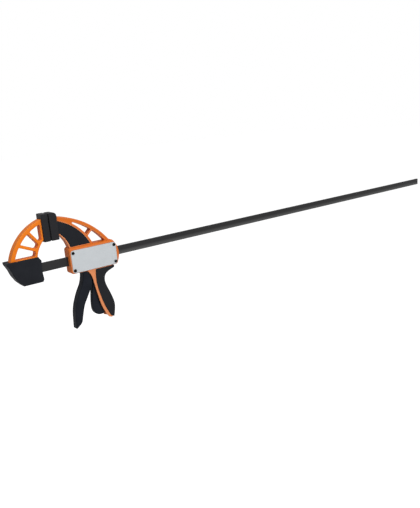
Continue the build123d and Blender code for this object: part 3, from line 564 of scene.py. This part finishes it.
def makeScrewEnd(endY):
    end = addRod("screwEnd", screwSet["shankSides"], screwSet["shankRadius"] * mm,
                 endY - screwSet["endLength"] * mm, endY)
    pickFaces(end, lambda at, normal: normal.y > sameWay)
    bpy.ops.mesh.bevel(offset=screwSet["endRound"] * mm, segments=screwSet["endSteps"],
                       affect="EDGES")
    bpy.ops.object.mode_set(mode="OBJECT")
    return end


def makeNut(faceY):
    flatRadius = nutSet["acrossFlats"] / 2 * mm
    nut = addRod("nut", hexSides, flatRadius / math.cos(math.pi / hexSides), faceY,
                 faceY + nutSet["height"] * mm)
    pickFaces(nut, lambda at, normal: normal.y > sameWay)
    bpy.ops.mesh.bevel(offset=nutSet["chamfer"] * mm, segments=nutSet["chamferSteps"],
                       affect="EDGES")
    pickFaces(nut, lambda at, normal: normal.y > sameWay)
    bpy.ops.mesh.inset(thickness=nutSet["rim"] * mm)
    bpy.ops.mesh.inset(thickness=nutSet["boreChamfer"] * mm, depth=-nutSet["boreDepth"] * mm)
    bpy.ops.object.mode_set(mode="OBJECT")
    return nut


def copyTo(model, x, z):
    # a copy with its own mesh, moved across the plate
    piece = model.copy()
    piece.data = model.data.copy()
    piece.data.transform(Matrix.Translation((x, 0, z)))
    bpy.context.scene.collection.objects.link(piece)
    return piece


def setOut(name, models):
    # the models at each screw's place, joined to one piece
    pieces = [copyTo(model, x, z) for x, z in screwPlaces() for model in models]
    selectOnly(pieces[0])
    for piece in pieces:
        piece.select_set(True)
    bpy.ops.object.join()
    for model in models:
        bpy.data.objects.remove(model)
    pieces[0].name = name
    return pieces[0]


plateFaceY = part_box("side_plate_near")[0].y
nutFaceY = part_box("side_plate_far")[1].y
endFaceY = nutFaceY + (nutSet["height"] + screwSet["endProud"]) * mm
plateScrews = setOut("plateScrews", [makeScrewHead(plateFaceY), makeScrewEnd(endFaceY)])
finishPiece(plateScrews, blackScrew, "head", "plate_screws")
plateNuts = setOut("plateNuts", [makeNut(nutFaceY)])
finishPiece(plateNuts, blackScrew, "head", "plate_nuts", nutSet["smoothBelow"])
print("screws and nuts made")


# Springs inside the head, wound from round wire with closed ends. slide is how far the far
# end of each is pushed when its joint is at the limit.
driveSpringSet = {"wireRadius": 0.8, "turns": 4, "slide": 6.6, "endGap": 0.1}
brakeSpringSet = {"wireRadius": 0.6, "turns": 6, "slide": 1.6, "endGap": 0.1}
# turns wound close at each end, a little more than a wire's width apart
coilSet = {"wireSides": 14, "stepsPerTurn": 36, "closedTurns": 0.75, "closedPitch": 2.1}


def makeSpring(name, node, spring):
    low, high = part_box(node)
    wire = spring["wireRadius"] * mm
    middle = (low + high) / 2
    turns, sides = spring["turns"], coilSet["wireSides"]
    reach = high.x - low.x - 2 * wire
    deselectAll()
    bpy.ops.mesh.primitive_circle_add(
        vertices=sides, radius=wire, location=(0, 0, (high.z - low.z) / 2 - wire),
        rotation=(rightAngle, 0, 0))
    coil = startEditing(name)
    bpy.ops.object.mode_set(mode="OBJECT")
    winding = coil.modifiers.new("winding", "SCREW")
    winding.axis = "X"
    winding.steps = winding.render_steps = coilSet["stepsPerTurn"]
    winding.iterations = turns
    winding.screw_offset = reach / turns
    bpy.ops.object.modifier_apply(modifier=winding.name)
    # the rings of vertices come in order, so each is moved to its own pitch
    rings = len(coil.data.vertices) // sides
    closed = coilSet["closedTurns"]
    closedReach = closed * coilSet["closedPitch"] * wire
    for ring in range(rings):
        turn = turns * ring / (rings - 1)
        if turn < closed:
            along = turn / closed * closedReach
        elif turn > turns - closed:
            along = reach - (turns - turn) / closed * closedReach
        else:
            openShare = (turn - closed) / (turns - 2 * closed)
            along = closedReach + openShare * (reach - 2 * closedReach)
        evenly = reach * ring / (rings - 1)
        shift = Vector((low.x + wire + along - evenly, middle.y, middle.z))
        for corner in coil.data.vertices[ring * sides:(ring + 1) * sides]:
            corner.co += shift
    bpy.ops.object.mode_set(mode="EDIT")
    bpy.ops.mesh.select_all(action="SELECT")
    bpy.ops.mesh.fill_holes(sides=0)        # the two cut ends of the wire
    bpy.ops.mesh.normals_make_consistent(inside=False)
    return coil


def shorten(coil):
    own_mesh(coil)


driveSpring = makeSpring("driveSpring", "drive_spring", driveSpringSet)
finishPiece(driveSpring, springWire, "head", "drive_spring")
shorten(driveSpring)
brakeSpring = makeSpring("brakeSpring", "brake_spring", brakeSpringSet)
finishPiece(brakeSpring, springWire, "head", "brake_spring")
shorten(brakeSpring)
print("springs made")


# The stage, in metres: a pale floor below the handle that shows as white, and two disks of
# soft light. The camera's lens is given in pixels of a frame that is tallPixels high.
stageSet = {"floorDrop": 0.26, "floorSize": 30.0, "floorGrey": "#C4C4C4", "floorGlow": 0.85}
lightSet = {
    "world": 0.31,
    "background": 1.0,       # shows as white
    "key": {"place": (0.5, -2.6, 1.0), "aim": (0.05, 0.0, -0.08), "size": 1.4, "watts": 52.0},
    "fill": {"place": (-1.1, -0.9, 2.3), "aim": (0.0, 0.0, 0.0), "size": 1.2, "watts": 27.0},
}
cameraSet = {"place": (-0.4472, -1.1537, 0.2010), "heading": 37.36, "pitch": -13.53,
             "roll": -4.65, "focalPixels": 560.0, "tallPixels": 508.0, "sensorMm": 36.0,
             "clipStart": 0.01, "clipEnd": 100.0}


def backgroundRays(tree):
    # 1 for rays that show the background: straight, mirrored or through something clear
    rays = addNode(tree, "ShaderNodeLightPath")
    direct = addNode(tree, "ShaderNodeMath", {"operation": "MAXIMUM"}, {
        0: rays.outputs["Is Camera Ray"], 1: rays.outputs["Is Glossy Ray"]})
    return addNode(tree, "ShaderNodeMath", {"operation": "MAXIMUM"}, {
        0: direct.outputs["Value"], 1: rays.outputs["Is Transmission Ray"]}).outputs["Value"]


def makeFloor():
    lowest = cadBox[0].z
    deselectAll()
    bpy.ops.mesh.primitive_plane_add(size=stageSet["floorSize"],
                                     location=(0, 0, lowest - stageSet["floorDrop"]))
    floor = bpy.context.object
    floor.name = "floor"
    material = newMaterial("paleFloor")
    tree = material.node_tree
    lit = addNode(tree, "ShaderNodeBsdfDiffuse", inputs={
        "Color": linear(stageSet["floorGrey"])})
    glow = addNode(tree, "ShaderNodeEmission", inputs={
        "Color": white, "Strength": stageSet["floorGlow"]})
    bright = addNode(tree, "ShaderNodeAddShader", inputs={
        0: lit.outputs["BSDF"], 1: glow.outputs["Emission"]})
    mixed = addNode(tree, "ShaderNodeMixShader", inputs={
        0: backgroundRays(tree), 1: lit.outputs["BSDF"], 2: bright.outputs["Shader"]})
    addNode(tree, "ShaderNodeOutputMaterial", inputs={"Surface": mixed.outputs["Shader"]})
    floor.data.materials.append(material)


def makeWorld():
    world = bpy.data.worlds.new("studio")
    bpy.context.scene.world = world
    world.use_nodes = True
    tree = world.node_tree
    tree.nodes.clear()
    soft = addNode(tree, "ShaderNodeBackground", inputs={
        "Color": white, "Strength": lightSet["world"]})
    shown = addNode(tree, "ShaderNodeBackground", inputs={
        "Color": white, "Strength": lightSet["background"]})
    mixed = addNode(tree, "ShaderNodeMixShader", inputs={
        0: backgroundRays(tree), 1: soft.outputs["Background"],
        2: shown.outputs["Background"]})
    addNode(tree, "ShaderNodeOutputWorld", inputs={"Surface": mixed.outputs["Shader"]})


def makeLamp(name, lamp):
    light = bpy.data.lights.new(name, "AREA")
    light.energy = lamp["watts"]
    light.shape = "DISK"
    light.size = lamp["size"]
    holder = bpy.data.objects.new(name, light)
    holder.location = lamp["place"]
    aim = Vector(lamp["aim"]) - Vector(lamp["place"])
    holder.rotation_euler = aim.to_track_quat("-Z", "Y").to_euler()
    bpy.context.scene.collection.objects.link(holder)


def makeCamera():
    lens = bpy.data.cameras.new("camera")
    camera = bpy.data.objects.new("camera", lens)
    lens.sensor_width = cameraSet["sensorMm"]
    lens.lens = cameraSet["focalPixels"] / cameraSet["tallPixels"] * cameraSet["sensorMm"]
    lens.clip_start = cameraSet["clipStart"]
    lens.clip_end = cameraSet["clipEnd"]
    turn = Matrix.Rotation(-math.radians(cameraSet["heading"]), 4, "Z")
    tilt = Matrix.Rotation(rightAngle + math.radians(cameraSet["pitch"]), 4, "X")
    roll = Matrix.Rotation(math.radians(cameraSet["roll"]), 4, "Z")
    camera.matrix_world = Matrix.Translation(cameraSet["place"]) @ turn @ tilt @ roll
    bpy.context.scene.collection.objects.link(camera)
    bpy.context.scene.camera = camera


makeFloor()
makeWorld()
makeLamp("keyLamp", lightSet["key"])
makeLamp("fillLamp", lightSet["fill"])
makeCamera()
bpy.context.scene.view_settings.view_transform = "Standard"
print("stage, light and camera set")
